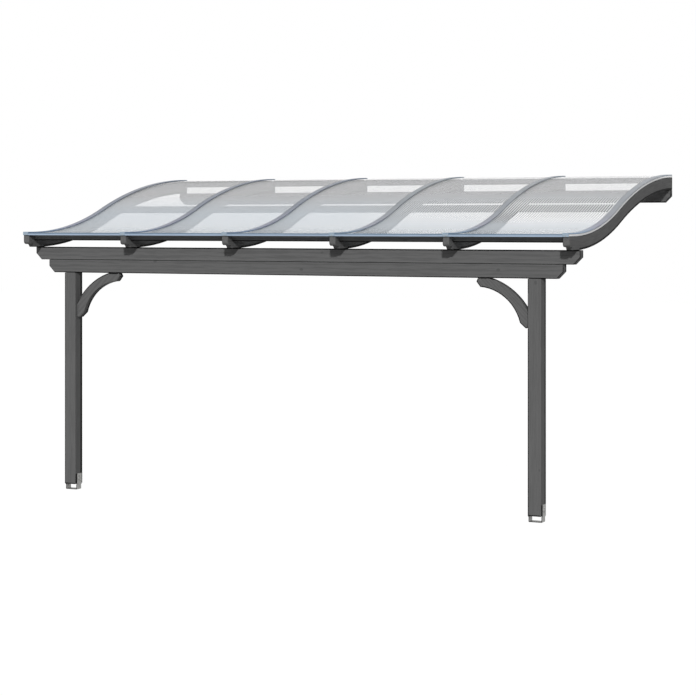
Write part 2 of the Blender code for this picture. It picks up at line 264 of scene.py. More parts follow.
def stainedWood(name, tone, contrast, knots=True):
    material, nodes, links = newMaterial(name)
    shader = nodes["Principled BSDF"]
    grain = nodes.new("ShaderNodeAttribute")
    grain.attribute_name = "grain"
    fibre = grain.outputs["Vector"]
    streaks = noise(nodes, links, mapped(nodes, links, fibre, woodLook["streaks"]), 1.0, 3.0, 0.55)
    pores = noise(nodes, links, mapped(nodes, links, fibre, woodLook["pores"]), 1.0, 3.0, 0.6)
    patches = noise(nodes, links, mapped(nodes, links, fibre, woodLook["patches"]), 1.0, 2.0, 0.5)
    rings = nodes.new("ShaderNodeTexWave")
    rings.wave_type = "RINGS"
    rings.rings_direction = "X"
    rings.inputs["Scale"].default_value = woodLook["ringScale"]
    rings.inputs["Distortion"].default_value = woodLook["ringWander"]
    rings.inputs["Detail"].default_value = 2.0
    rings.inputs["Detail Scale"].default_value = 3.0
    links.new(mapped(nodes, links, fibre, (0.05, 1, 1), woodLook["pith"]), rings.inputs["Vector"])
    layers = (rings.outputs["Fac"], streaks, pores, patches)
    mixed = sumOf(nodes, links, *zip(layers, woodLook["shares"]))
    if knots:
        spots = nodes.new("ShaderNodeTexVoronoi")
        spots.inputs["Scale"].default_value = 1.0
        links.new(mapped(nodes, links, fibre, woodLook["knots"]), spots.inputs["Vector"])
        inside = remap(nodes, links, spots.outputs["Distance"],
                       (woodLook["knotReach"] * 0.7, woodLook["knotReach"]), (woodLook["knotDepth"], 0.0))
        mixed = mathNode(nodes, links, "ADD", mixed, inside)
    colour = ramp(nodes, links, mixed, [(place, grey(tone * (1 + turn * contrast)))
                                        for place, turn in woodLook["toneStops"]])
    links.new(colour, shader.inputs["Base Color"])
    links.new(remap(nodes, links, streaks, toRange=woodLook["roughness"]), shader.inputs["Roughness"])
    shader.inputs["Specular IOR Level"].default_value = woodLook["specular"]
    height = sumOf(nodes, links, (rings.outputs["Fac"], woodLook["shares"][0]), (pores, 1.0))
    links.new(bump(nodes, links, height, woodLook["relief"], 0.35), shader.inputs["Normal"])
    return material


faceWood = stainedWood("grey_stained_face", woodLook["tone"], woodLook["contrast"])
paintedLightBeamWood = stainedWood("grey_beam_painted_light", woodLook["beamPaintedLightTone"], woodLook["contrast"])
shadeLineWood = stainedWood("wood_painted_shade_line", woodLook["shadeLineTone"], woodLook["shadeLineContrast"], knots=False)
endWood = stainedWood("grey_stained_end_grain", woodLook["endTone"], woodLook["endContrast"], knots=False)


# Clear twin-wall sheet: thin skins and upright ribs, each layer letting most light through
sheetLook = {
    "rearColour": (0.81, 0.82, 0.835),
    # painted reflection: the sheet darker and bluer towards its front
    "frontReflectionTint": (0.655, 0.72, 0.78),
    "colourTurns": (1.15, 1.75),      # from the front colour to the rear one, metres back
    "skinAlpha": (0.52, 0.39),        # front and rear
    "ribAlpha": 0.03,
    "closureColour": (0.86, 0.87, 0.88),
    "closureAlpha": 0.10,
    "sideAlpha": 0.80,
    "roughness": (0.16, 0.30),
    "lightBending": 1.58,
    "haze": (1.4, 0.5, 1),
    "hazeShade": 0.97,                # the haze's darker patches
    "drawLines": (420, 2, 2),
    # the steep part of the right bays, where the ribs stand out as fine lines with clear gaps: the ribs'
    # shade is painted on the top skin as dark lines, darker towards the front, and the gaps are painted
    # lighter
    "lineFront": (0.39, 0.41, 0.43),
    "lineRear": (0.61, 0.63, 0.64),
    "lineTurns": (1.08, 1.26),
    "lineAlpha": 1.0,
    "lineWidth": 0.64,                # share of a cell
    "lineSoftness": 0.06,
    "gapColour": (0.90, 0.91, 0.92),
    "gapAlpha": (0.10, 0.0),          # top and under skin
    "linesAcross": ((0.1, 0.0), (0.7, 0.35), (1.5, 0.55), (1.7, 1.0)),
    "linesBack": ((0.84, 0.0), (1.15, 1.0), (1.42, 1.0), (1.62, 0.0)),
}


def clearSheet(name, colour, alpha):
    material, nodes, links = newMaterial(name)
    shader = nodes["Principled BSDF"]
    place = objectPlace(nodes)
    haze = noise(nodes, links, mapped(nodes, links, place, sheetLook["haze"]), 1.0, 4.0, 0.6)
    drawLines = noise(nodes, links, mapped(nodes, links, place, sheetLook["drawLines"]), 1.0, 2.0, 0.5)
    hazed = ramp(nodes, links, haze, [(0.30, shaded(colour, sheetLook["hazeShade"])), (0.70, colour)])
    links.new(hazed, shader.inputs["Base Color"])
    links.new(remap(nodes, links, haze, toRange=sheetLook["roughness"]), shader.inputs["Roughness"])
    links.new(bump(nodes, links, drawLines, 0.0002, 0.2), shader.inputs["Normal"])
    shader.inputs["IOR"].default_value = sheetLook["lightBending"]
    shader.inputs["Alpha"].default_value = alpha
    return material


def clearSkin(name, gapAlpha, drawsLines):
    # a clear sheet whose colour and density change along the roof, its darker, bluer front a painted
    # reflection
    material = clearSheet(name, sheetLook["rearColour"], sheetLook["skinAlpha"][1])
    nodes, links = material.node_tree.nodes, material.node_tree.links
    shader = nodes["Principled BSDF"]
    axes = objectAxes(nodes, links)
    back = mathNode(nodes, links, "SUBTRACT", axes["Y"], rafterFrontY)
    turnFrom, turnTo = sheetLook["colourTurns"]
    frontAlpha, rearAlpha = sheetLook["skinAlpha"]
    hazed = shader.inputs["Base Color"].links[0].from_socket
    rearward = stepsAlong(nodes, links, back, ((turnFrom, grey(0)), (turnTo, grey(1))))
    across = stepsAlong(nodes, links, axes["X"], [(x, grey(v)) for x, v in sheetLook["linesAcross"]])
    along = stepsAlong(nodes, links, back, [(y, grey(v)) for y, v in sheetLook["linesBack"]])
    zone = mathNode(nodes, links, "MULTIPLY", across, along)
    colour = blend(nodes, links, "RGBA", rearward, sheetLook["frontReflectionTint"], hazed)
    colour = blend(nodes, links, "RGBA", zone, colour, sheetLook["gapColour"])
    alpha = blend(nodes, links, "FLOAT", rearward, frontAlpha, rearAlpha)
    alpha = blend(nodes, links, "FLOAT", zone, alpha, gapAlpha)
    # the ribs' shade, painted on the top skin as dark lines
    if drawsLines:
        count = nodes.new("ShaderNodeAttribute")
        count.attribute_name = "ribCount"
        fromRib = mathNode(nodes, links, "PINGPONG", count.outputs["Fac"], 0.5)
        edge, soft = sheetLook["lineWidth"] / 2, sheetLook["lineSoftness"]
        onRib = stepsAlong(nodes, links, fromRib, ((edge - soft, grey(1)), (edge + soft, grey(0))))
        drawn = mathNode(nodes, links, "MULTIPLY", zone, onRib)
        lineFrom, lineTo = sheetLook["lineTurns"]
        lineColour = stepsAlong(nodes, links, back, ((lineFrom, sheetLook["lineFront"]),
                                                     (lineTo, sheetLook["lineRear"])))
        colour = blend(nodes, links, "RGBA", drawn, colour, lineColour)
        alpha = blend(nodes, links, "FLOAT", drawn, alpha, sheetLook["lineAlpha"])
    links.new(colour, shader.inputs["Base Color"])
    links.new(alpha, shader.inputs["Alpha"])
    return material


topClear = clearSkin("clear_sheet_top", sheetLook["gapAlpha"][0], True)
underClear = clearSkin("clear_sheet_under", sheetLook["gapAlpha"][1], False)
ribClear = clearSheet("clear_sheet_rib", sheetLook["rearColour"], sheetLook["ribAlpha"])
sideClear = clearSheet("clear_sheet_side", sheetLook["closureColour"], sheetLook["sideAlpha"])
closureClear = clearSheet("clear_rear_closure", sheetLook["closureColour"], sheetLook["closureAlpha"])


# Satin anodised aluminium, galvanised and plain steel, rubber
metalLook = {
    # painted sky reflection: bluer on the left strips, greyer in the middle and on the right
    "coverLeft": (0.195, 0.220, 0.270),
    "coverMiddle": (0.250, 0.275, 0.300),
    "coverRight": (0.275, 0.295, 0.325),
    # painted sky reflection as tints of a strip at its front, where it turns up and at its rear, against
    # the middle of its run
    "coverFront": (0.66, 0.90, 1.16),
    "coverTurn": (0.96, 0.93, 1.06),
    "coverRear": (0.84, 0.97, 1.08),
    # strengths on the leftmost and the rightmost strip
    "coverShadeLine": (0.42, 0.80),    # painted shade line along the left edge
    "coverLitSide": (1.05, 1.12),    # painted highlight on the right side walls, which face the key light
    "coverCap": (0.30, 0.38, 0.46),
    # the profile's upper face, painted darker as shade
    "shadedProfileUpper": (0.155, 0.22, 0.30),
    "profileLower": (0.34, 0.43, 0.545),
    "zinc": (0.34, 0.34, 0.33),
    "zincEdge": (0.045, 0.045, 0.044),  # the flat bar's cut edges
    "screw": (0.36, 0.36, 0.35),
    "rubber": (0.16, 0.16, 0.165),
    "coverRoughness": 0.36,
    "upperRoughness": 0.38,
    "lowerRoughness": 0.34,
    "screwRoughness": 0.32,
    "zincRoughness": (0.38, 0.58),
    "rubberRoughness": (0.65, 0.85),
    "drawLines": (900, 3, 900),
    "crystals": 110.0,
}


def drawnMetal(name, colour, roughness, metallic=0.55):
    # fine draw lines along the length and a faint unevenness of the anodising
    material, nodes, links = newMaterial(name)
    shader = nodes["Principled BSDF"]
    place = objectPlace(nodes)
    lines = noise(nodes, links, mapped(nodes, links, place, metalLook["drawLines"]), 1.0, 2.0, 0.5)
    cloud = noise(nodes, links, place, 2.6, 4.0, 0.55)
    uneven = sumOf(nodes, links, (lines, 0.35), (cloud, 0.65))
    tone = ramp(nodes, links, uneven, [(0.32, shaded(colour, 0.90)), (0.68, shaded(colour, 1.10))])
    links.new(tone, shader.inputs["Base Color"])
    links.new(remap(nodes, links, uneven, toRange=(roughness - 0.06, roughness + 0.08)),
              shader.inputs["Roughness"])
    links.new(bump(nodes, links, lines, 0.0002, 0.15), shader.inputs["Normal"])
    shader.inputs["Metallic"].default_value = metallic
    return material


def zincCoated(name, colour):
    # hot-dip spangle: flat crystals a centimetre or so across
    material, nodes, links = newMaterial(name)
    shader = nodes["Principled BSDF"]
    place = objectPlace(nodes)
    crystals = nodes.new("ShaderNodeTexVoronoi")
    crystals.inputs["Scale"].default_value = metalLook["crystals"]
    links.new(place, crystals.inputs["Vector"])
    split = nodes.new("ShaderNodeSeparateColor")
    links.new(crystals.outputs["Color"], split.inputs["Color"])
    stain = noise(nodes, links, place, 22.0, 4.0, 0.6)
    uneven = sumOf(nodes, links, (split.outputs["Red"], 0.5), (stain, 0.5))
    tone = ramp(nodes, links, uneven, [(0.20, shaded(colour, 0.78)), (0.80, shaded(colour, 1.20))])
    links.new(tone, shader.inputs["Base Color"])
    links.new(remap(nodes, links, uneven, toRange=metalLook["zincRoughness"]), shader.inputs["Roughness"])
    links.new(bump(nodes, links, stain, 0.0004, 0.25), shader.inputs["Normal"])
    shader.inputs["Metallic"].default_value = 0.6
    return material


def blackRubber(name, colour):
    material, nodes, links = newMaterial(name)
    shader = nodes["Principled BSDF"]
    dust = noise(nodes, links, objectPlace(nodes), 40.0, 3.0, 0.6)
    tone = ramp(nodes, links, dust, [(0.3, colour), (0.8, shaded(colour, 1.9))])
    links.new(tone, shader.inputs["Base Color"])
    links.new(remap(nodes, links, dust, toRange=metalLook["rubberRoughness"]), shader.inputs["Roughness"])
    links.new(bump(nodes, links, dust, 0.0003, 0.3), shader.inputs["Normal"])
    return material


def coverPaintedReflection(name, strengths):
    # painted sky reflection: blue where the strips run level, greyer on the slope and towards the middle
    # of the width
    material = drawnMetal(name, grey(0.5), metalLook["coverRoughness"])
    nodes, links = material.node_tree.nodes, material.node_tree.links
    shader = nodes["Principled BSDF"]
    unevenness = shader.inputs["Base Color"].links[0].from_socket
    axes = objectAxes(nodes, links)
    width = remap(nodes, links, axes["X"], (rafterCentres[0], rafterCentres[-1]))
    depth = remap(nodes, links, axes["Y"], (rafterFrontY, wallY))
    across = ramp(nodes, links, width, [
        (0.0, metalLook["coverLeft"]), (0.40, metalLook["coverLeft"]), (0.60, metalLook["coverMiddle"]),
        (1.0, metalLook["coverRight"])])
    along = ramp(nodes, links, depth, [
        (0.0, metalLook["coverFront"]), (0.12, metalLook["coverFront"]), (0.26, metalLook["coverTurn"]),
        (0.45, grey(1.0)), (0.80, grey(1.0)), (1.0, metalLook["coverRear"])])
    colour = multiplied(nodes, links, multiplied(nodes, links, across, along), unevenness)
    # twice the strength, as the metal underneath is half white
    strength = remap(nodes, links, width, toRange=(2 * strengths[0], 2 * strengths[1]))
    links.new(multiplied(nodes, links, colour, strength), shader.inputs["Base Color"])
    return material


coverMetal = coverPaintedReflection("anodised_cover", (1.0, 1.0))
coverShadeLine = coverPaintedReflection("anodised_cover_left_painted_shade", metalLook["coverShadeLine"])
coverLitSide = coverPaintedReflection("anodised_cover_painted_lit_side", metalLook["coverLitSide"])
coverCap = drawnMetal("anodised_cover_cap", metalLook["coverCap"], metalLook["coverRoughness"])
shadedProfileUpper = drawnMetal("anodised_profile_painted_shade_top", metalLook["shadedProfileUpper"], metalLook["upperRoughness"])
profileLower = drawnMetal("anodised_profile_lower", metalLook["profileLower"], metalLook["lowerRoughness"])
zincSteel = zincCoated("galvanised_flat_bar", metalLook["zinc"])
cutSteel = zincCoated("galvanised_cut_edge", metalLook["zincEdge"])
screwSteel = drawnMetal("screw_steel", metalLook["screw"], metalLook["screwRoughness"], metallic=0.8)
sealRubber = blackRubber("seal_rubber", metalLook["rubber"])
print("materials ready:", len(bpy.data.materials))


meshing = {
    "merge": 0.00005,     # vertices this close are one
    "flatAngle": 0.3,     # faces that turn by less than this are joined, in degrees
    "normalWeight": 60,
}


def finishPiece(bm, name, materials, replaced=(), smooth=True, weighted=True, turnOut=True):
    if turnOut:
        bmesh.ops.recalc_face_normals(bm, faces=bm.faces[:])
    mesh = bpy.data.meshes.new(name)
    for face in bm.faces:
        face.smooth = smooth
    bm.to_mesh(mesh)
    bm.free()
    for material in materials:
        mesh.materials.append(material)
    piece = bpy.data.objects.new(name, mesh)
    bpy.context.collection.objects.link(piece)
    if weighted:
        piece.modifiers.new("weighted_normals", "WEIGHTED_NORMAL").weight = meshing["normalWeight"]
    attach(piece, "root")
    if replaced:
        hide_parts(*replaced)


def cadCopy(node):
    # a CAD solid's mesh, merged and with its flat faces whole
    bm = bmesh.new()
    bm.from_mesh(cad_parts[node].data)
    bmesh.ops.remove_doubles(bm, verts=bm.verts[:], dist=meshing["merge"])
    bmesh.ops.dissolve_limit(bm, angle_limit=math.radians(meshing["flatAngle"]), verts=bm.verts[:],
                             edges=bm.edges[:])
    return bm


def cutAt(bm, place, direction, snap=0.0002):
    bmesh.ops.bisect_plane(bm, geom=bm.verts[:] + bm.edges[:] + bm.faces[:], dist=snap,
                           plane_co=place, plane_no=direction)


def easeEdges(bm, sharpAngle, offset, segments=2, clamp=False):
    # rounds every edge that turns by more than the angle, in degrees
    sharp = [edge for edge in bm.edges
             if len(edge.link_faces) == 2 and edge.calc_face_angle(0) > math.radians(sharpAngle)]
    return bmesh.ops.bevel(bm, geom=sharp, offset=offset, affect="EDGES", segments=segments,
                           profile=0.5, material=-1, clamp_overlap=clamp)["faces"]


def movedOn(bm, made, travel):
    # shifts what an extrusion made
    verts = [item for item in made["geom"] if isinstance(item, bmesh.types.BMVert)]
    bmesh.ops.translate(bm, verts=verts, vec=travel)


def extrudeAlong(bm, faces, stations):
    # carries a flat section back through the stations, leaving a closed bar
    for before, after in zip(stations, stations[1:]):
        made = bmesh.ops.extrude_face_region(bm, geom=faces)
        faces = [item for item in made["geom"] if isinstance(item, bmesh.types.BMFace)]
        movedOn(bm, made, (0, after - before, 0))


def sectionFace(bm, outline, centreX, startY):
    return bm.faces.new([bm.verts.new((centreX + x, startY, z)) for x, z in outline])


def addRound(bm, middle, axis, sides, depth, radius, topRadius=None):
    turn = Vector(axis).to_track_quat("Z", "Y").to_matrix().to_4x4()
    return bmesh.ops.create_cone(bm, cap_ends=True, cap_tris=False, segments=sides, radius1=radius,
                                 radius2=topRadius or radius, depth=depth,
                                 matrix=Matrix.Translation(middle) @ turn)


# Timbers: each is a copy of its CAD solid with eased edges and its own run of grain
timber = {
    "ease": 0.0045,
    "battenEase": 0.003,
    "easeSegments": 2,
    "sharpAngle": 50.0,
    "endTurn": 0.62,      # a face that looks this much along the fibre is end grain
    "tipArea": 0.0022,    # a brace's end grain faces are smaller than this
    "cutStep": 0.07,      # rafters are cut this often, so that the grain follows the curve
    "cutEnds": (0.06, 0.03),  # the first and the last cut, from the front and from the wall
    "postChamfer": 0.004,
    # widths of the dark lines of painted shade along outer edges
    "rafterLine": 0.019,
    "rafterEndLine": 0.016,
    "headLine": 0.007,
    "battenLine": 0.009,
    "beamEndLine": 0.024,
    "postSideLine": 0.034,
    "postFrontLine": 0.005,
    "postFootLine": 0.011,
    "braceLine": 0.010,
    "braceBackLine": 0.031,
    # where they start and stop
    "rafterLineFrom": 0.24,   # back from the rafter's front
    "headLineTo": 0.20,
    "headEaseTo": 0.10,
    "braceContact": 0.30,     # up from the foot of the right brace
    "endEase": 0.010,         # eased edges this near to a timber's top or foot
    "beamTopEase": 0.008,
}
# widths of the painted shade lines along the top and the foot of each long timber
beamLines = {"upper_beam": (0.009, 0.0), "lower_beam": (0.0, 0.005), "wall_purlin": (0.0, 0.008)}
# the right brace meets its post between these heights
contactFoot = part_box("brace_right")[0].z
contactTop = contactFoot + timber["braceContact"]


diagonal = 0.7071   # the braces' fibre runs at 45 degrees


def grainPlace(kind, co, shift):
    if kind == "alongX":
        return Vector((co.x, co.y, co.z)) + shift
    if kind == "alongZ":
        return Vector((co.z, co.x, co.y)) + shift
    if kind == "braceLeft":
        return Vector(((co.x + co.z) * diagonal, (co.x - co.z) * diagonal, co.y)) + shift
    if kind == "braceRight":
        return Vector(((co.z - co.x) * diagonal, (co.x + co.z) * diagonal, co.y)) + shift
    # on a rafter: how far along the curve, and how far off its top
    back = co.y - rafterFrontY
    foot = back
    lift = 0.0
    for closer in range(3):   # three rounds come close enough
        lift = (co.z - rafterTopAt(foot)) * math.cos(slopeAt(foot))
        foot = back + lift * math.sin(slopeAt(foot))
    if foot <= curveTurn:
        run = min(foot, roofCurve["start"]) + lowerRadius * slopeAt(foot)
    else:
        run = roofCurve["start"] + lowerRadius * curveAngle + upperRadius * (curveAngle - slopeAt(foot))
    return Vector((run, co.x, lift)) + shift


fibreDirections = {
    "alongX": Vector((1, 0, 0)), "alongZ": Vector((0, 0, 1)), "alongRafter": Vector((0, 1, 0)),
    "braceLeft": Vector((1, 0, 1)).normalized(), "braceRight": Vector((-1, 0, 1)).normalized(),
}

# Ways that the cuts below face
toFront, toBack, toLeft, toTop, toFoot = (0, -1, 0), (0, 1, 0), (-1, 0, 0), (0, 0, 1), (0, 0, -1)


def paintShadeBeyond(bm, place, direction, chosen):
    # cuts the faces at a plane and paints the dark shade line on the chosen faces beyond it
    cutAt(bm, place, direction)
    bm.normal_update()
    for face in bm.faces:
        centre = face.calc_center_median()
        if (centre - Vector(place)).dot(Vector(direction)) > 0 and chosen(face.normal, centre):
            face.material_index = 1


def paintShadeRing(bm, broad, width, chosen):
    # a band of painted shade round the broad faces, kept where the face across the edge is a chosen one
    made = bmesh.ops.inset_region(bm, faces=broad, thickness=width, depth=0.0, use_even_offset=True,
                                  use_boundary=True)
    ring = set(made["faces"])
    inner = {f for f in broad if f.is_valid} | ring
    for face in ring:
        for edge in face.edges:
            for other in edge.link_faces:
                if other not in inner and chosen(other.normal, face.calc_center_median()):
                    face.material_index = 1


# The dark lines are painted shade and lie where the photo shows them: on the outlines, not on edges inside
# a timber.
# In the tests, n is a face's normal and c its centre.

def paintShadeOnBeam(bm, node, low, high):
    top, foot = beamLines[node]
    if top:
        paintShadeBeyond(bm, (0, 0, high.z - top), toTop, lambda n, c: abs(n.y) > 0.9)
    if foot:
        paintShadeBeyond(bm, (0, 0, low.z + foot), toFoot, lambda n, c: abs(n.y) > 0.9)
    paintShadeBeyond(bm, (0, high.y - timber["beamEndLine"], 0), toBack, lambda n, c: abs(n.x) > 0.3)


def paintShadeOnPost(bm, node, low, high):
    paintShadeBeyond(bm, (0, high.y - timber["postSideLine"], 0), toBack, lambda n, c: abs(n.x) > 0.9)
    paintShadeBeyond(bm, (low.x + timber["postChamfer"] + timber["postFrontLine"], 0, 0), toLeft,
                lambda n, c: n.y < -0.9)
    # painted shade on the sides in front of the steel foot
    steelLow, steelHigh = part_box(node.replace("post", "post_bracket"))
    cutAt(bm, (0, 0, steelHigh.z), toTop)
    paintShadeBeyond(bm, (0, steelLow.y, 0), toFront, lambda n, c: abs(n.x) > 0.9 and c.z < steelHigh.z)
    if node == "post_right":
        # no line where the brace meets the post
        cutAt(bm, (0, 0, contactFoot), toTop)
        cutAt(bm, (0, 0, contactTop), toTop)
        bm.normal_update()
        for face in bm.faces:
            if face.normal.y < -0.5 and contactFoot < face.calc_center_median().z < contactTop:
                face.material_index = 0
    paintShadeBeyond(bm, (0, 0, low.z + timber["postFootLine"]), toFoot, lambda n, c: abs(n.z) < 0.5)


def paintShadeOnRafter(bm, low, high):
    for side in (-1, 1):
        broad = [f for f in bm.faces if f.normal.x * side > 0.99]
        paintShadeRing(bm, broad, timber["rafterLine"],
                  lambda n, c: n.z < -0.5 and c.y > low.y + timber["rafterLineFrom"])
    paintShadeBeyond(bm, (0, high.y - timber["rafterEndLine"], 0), toBack, lambda n, c: abs(n.x) > 0.9)
    paintShadeBeyond(bm, (low.x + timber["headLine"], 0, 0), toLeft,
                lambda n, c: abs(n.x) < 0.3 and n.z < -0.1 and c.y < low.y + timber["headLineTo"])


def paintShadeOnBrace(bm, kind, high):
    broad = [f for f in bm.faces if f.normal.y < -0.99]
    if kind == "braceLeft":
        paintShadeRing(bm, broad, timber["braceLine"], lambda n, c: n.z > 0.15 and n.x < 0.1)
    else:
        paintShadeRing(bm, broad, timber["braceLine"],
                  lambda n, c: n.z < -0.15 or (n.x < -0.5 and n.z < 0.6))
    paintShadeBeyond(bm, (0, high.y - timber["braceBackLine"], 0), toBack, lambda n, c: abs(n.y) < 0.3)


def paintShadeLines(bm, node, kind, low, high):
    if "batten" in node:
        paintShadeBeyond(bm, (0, 0, low.z + timber["battenLine"]), toFoot, lambda n, c: abs(n.z) < 0.5)
    elif kind == "alongX":
        paintShadeOnBeam(bm, node, low, high)
    elif kind == "alongZ":
        paintShadeOnPost(bm, node, low, high)
    elif kind == "alongRafter":
        paintShadeOnRafter(bm, low, high)
    else:
        paintShadeOnBrace(bm, kind, high)


def plainEdge(node, kind, normal, centre, low, high):
    # eased edges that keep the face's own stain, without the painted shade line
    facesFront = normal.y < -0.1
    nearTop = centre.z > high.z - timber["endEase"]
    if "batten" in node:
        return centre.z > low.z + timber["endEase"]
    if node == "lower_beam":
        return centre.z > high.z - timber["beamTopEase"]
    if kind == "alongZ":
        if node == "post_right" and normal.x < -0.1 and contactFoot < centre.z < contactTop:
            return facesFront
        return facesFront and (normal.x > 0.1 or nearTop)
    if kind == "braceLeft":
        return facesFront and (normal.z < -0.1 or abs(normal.x) > 0.3)
    if kind == "braceRight":
        return facesFront and normal.x > -0.1 and not nearTop and (normal.z > 0.1 or normal.x > 0.3)
    if kind == "alongRafter":
        return centre.y < low.y + timber["headEaseTo"] and normal.x > 0.1
    return False


def makeTimber(node, kind, seed, ease=timber["ease"]):
    low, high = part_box(node)
    bm = cadCopy(node)
    bm.normal_update()
    for face in bm.faces:
        face.material_index = 0
    paintShadeLines(bm, node, kind, low, high)
    if kind == "alongRafter":
        firstCut, lastCut = timber["cutEnds"]
        for back in roofStations(firstCut, roofDepth - lastCut, timber["cutStep"]):
            cutAt(bm, (0, rafterFrontY + back, 0), toBack, 0.0004)
    rounded = set(easeEdges(bm, timber["sharpAngle"], ease, timber["easeSegments"], clamp=True))
    bm.normal_update()
    fibre = fibreDirections[kind]
    for face in bm.faces:
        centre = face.calc_center_median()
        chamfer = kind == "alongZ" and min(abs(face.normal.x), abs(face.normal.y)) > 0.3
        # eased edges and post chamfers get the painted shade line unless they keep the face's own tone
        if face in rounded or chamfer:
            face.material_index = 0 if plainEdge(node, kind, face.normal, centre, low, high) else 1
        elif face.material_index == 0 and abs(face.normal.dot(fibre)) > timber["endTurn"]:
            face.material_index = 2
    if kind.startswith("brace"):
        # the curved edges of a brace are long grain to the eye, only its cut tips are end grain
        for face in bm.faces:
            if face.material_index == 2 and face.calc_area() > timber["tipArea"]:
                face.material_index = 0
    # each timber reads its own stretch of the grain
    layer = bm.verts.layers.float_vector.new("grain")
    along, across, deep = woodLook["grainSteps"]
    acrossLimit, deepLimit = woodLook["grainLimits"]
    shift = Vector((seed * along, seed * across % acrossLimit, seed * deep % deepLimit))
    for vert in bm.verts:
        vert[layer] = grainPlace(kind, vert.co, shift)
    # the upper beam's wood is painted lighter against the shade under the roof
    plainWood = paintedLightBeamWood if node == "upper_beam" else faceWood
    finishPiece(bm, "timber_" + node, [plainWood, shadeLineWood, endWood], (node,))


timberRuns = [("post_left", "alongZ"), ("post_right", "alongZ"), ("lower_beam", "alongX"),
              ("upper_beam", "alongX"), ("wall_purlin", "alongX"),
              ("brace_left", "braceLeft"), ("brace_right", "braceRight")]
timberRuns += [("rafter_%d" % n, "alongRafter") for n in range(1, bayCount + 2)]
for seed, (node, kind) in enumerate(timberRuns):
    makeTimber(node, kind, seed + 1)
for n in range(1, bayCount + 1):
    for row, place in enumerate(("front", "middle", "rear")):
        makeTimber("%s_batten_%d" % (place, n), "alongX", 20 + n * 3 + row,
                   timber["battenEase"])
print("timbers ready")


# Roof sheets: two skins held apart by upright ribs, all of them thin and clear
sheet = {
    "thickness": 0.016,
    "cell": 0.0252,       # from one rib to the next
    "lift": 0.0003,       # clear of the rafters
    "frontReach": 0.010,
    "rearStop": 0.0012,
    "joint": 0.020,       # gap between two sheets
    "halfRafter": 0.030,
}


def makeSheet(n):
    left = rafterCentres[n] + sheet["joint"] / 2
    right = rafterCentres[n + 1] - sheet["joint"] / 2
    if n == 0:
        left = rafterCentres[0] - sheet["halfRafter"]
    if n == bayCount - 1:
        right = rafterCentres[bayCount] + sheet["halfRafter"]
    cells = round((right - left) / sheet["cell"])
    bm = bmesh.new()
    bmesh.ops.create_grid(bm, x_segments=cells, y_segments=1, size=0.5)
    ribCount = bm.verts.layers.float.new("ribCount")
    for vert in bm.verts:
        vert[ribCount] = round((vert.co.x + 0.5) * cells)
        vert.co = (left + (vert.co.x + 0.5) * (right - left), -sheet["frontReach"],
                   sheet["lift"] + (vert.co.y + 0.5) * sheet["thickness"])
    bmesh.ops.delete(bm, geom=bm.faces[:], context="FACES_ONLY")
    stations = roofStations(-sheet["frontReach"], roofDepth - sheet["rearStop"])
    edges = bm.edges[:]
    for before, after in zip(stations, stations[1:]):
        made = bmesh.ops.extrude_edge_only(bm, edges=edges)
        edges = [item for item in made["geom"] if isinstance(item, bmesh.types.BMEdge)]
        movedOn(bm, made, (0, after - before, 0))
    bm.normal_update()
    # skins and ribs face away from the sheet's middle
    middle = Vector(((left + right) / 2, 0, sheet["lift"] + sheet["thickness"] / 2))
    for face in bm.faces:
        centre = face.calc_center_median()
        if abs(face.normal.x) > 0.7:
            outermost = abs(centre.x) > rafterCentres[-1] + sheet["halfRafter"] - 0.001
            face.material_index = 3 if outermost else 2
        elif centre.z < middle.z:
            face.material_index = 1
        reach = centre - middle
        reach.y = 0
        if face.normal.dot(reach) < 0:
            face.normal_flip()
    bendToRoof(bm)
    finishPiece(bm, "clear_sheet_%d" % (n + 1), [topClear, underClear, ribClear, sideClear],
                ("roof_panel_%d" % (n + 1),), smooth=False, weighted=False, turnOut=False)


for n in range(bayCount):
    makeSheet(n)
print("roof sheets ready")


# Cover strips: a thin channel on two rubber seals, screwed through the joint into the rafter
cover = {
    # right half of the section, from the lip's foot up to the middle
    "outer": [(0.0280, 0.0186), (0.0280, 0.0256), (0.0270, 0.0264), (0.0250, 0.0266), (0.0180, 0.0266),
              (0.0, 0.0266)],
    "inner": [(0.0262, 0.0186), (0.0262, 0.0242), (0.0250, 0.0250), (0.0, 0.0250)],
    "half": 0.028,
    "front": -0.0100,     # front and rear ends, against the rafters' own
    "rearStop": 0.0008,
    "line": 0.010,        # width of the painted shade line along the left edge
}
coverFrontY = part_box("cover_strip_1")[0].y


def makeCover(n):
    outer, inner = cover["outer"], cover["inner"]
    outline = [(-x, z) for x, z in outer] + outer[-2::-1] + inner + [(-x, z) for x, z in inner[-2::-1]]
    centre = rafterCentres[n]
    bm = bmesh.new()
    section = sectionFace(bm, outline, centre, cover["front"])
    extrudeAlong(bm, [section], roofStations(cover["front"], roofDepth - cover["rearStop"]))
    bm.normal_update()
    # the left edge gets a painted shade line, the right-facing walls a painted highlight
    for face in bm.faces:
        if face.calc_center_median().x - centre < cover["line"] - cover["half"]:
            face.material_index = 1
        elif face.normal.x > 0.6:
            face.material_index = 2
    bendToRoof(bm)
    finishPiece(bm, "cover_cap_strip_%d" % (n + 1), [coverMetal, coverShadeLine, coverLitSide],
                ("cover_strip_%d" % (n + 1),))


# The seals under a strip's two lips
seal = {
    "foot": 0.0166,
    "head": 0.0186,
    "inside": 0.0205,     # distances from the strip's middle
    "outside": 0.0272,
    "bulge": 0.0276,
}


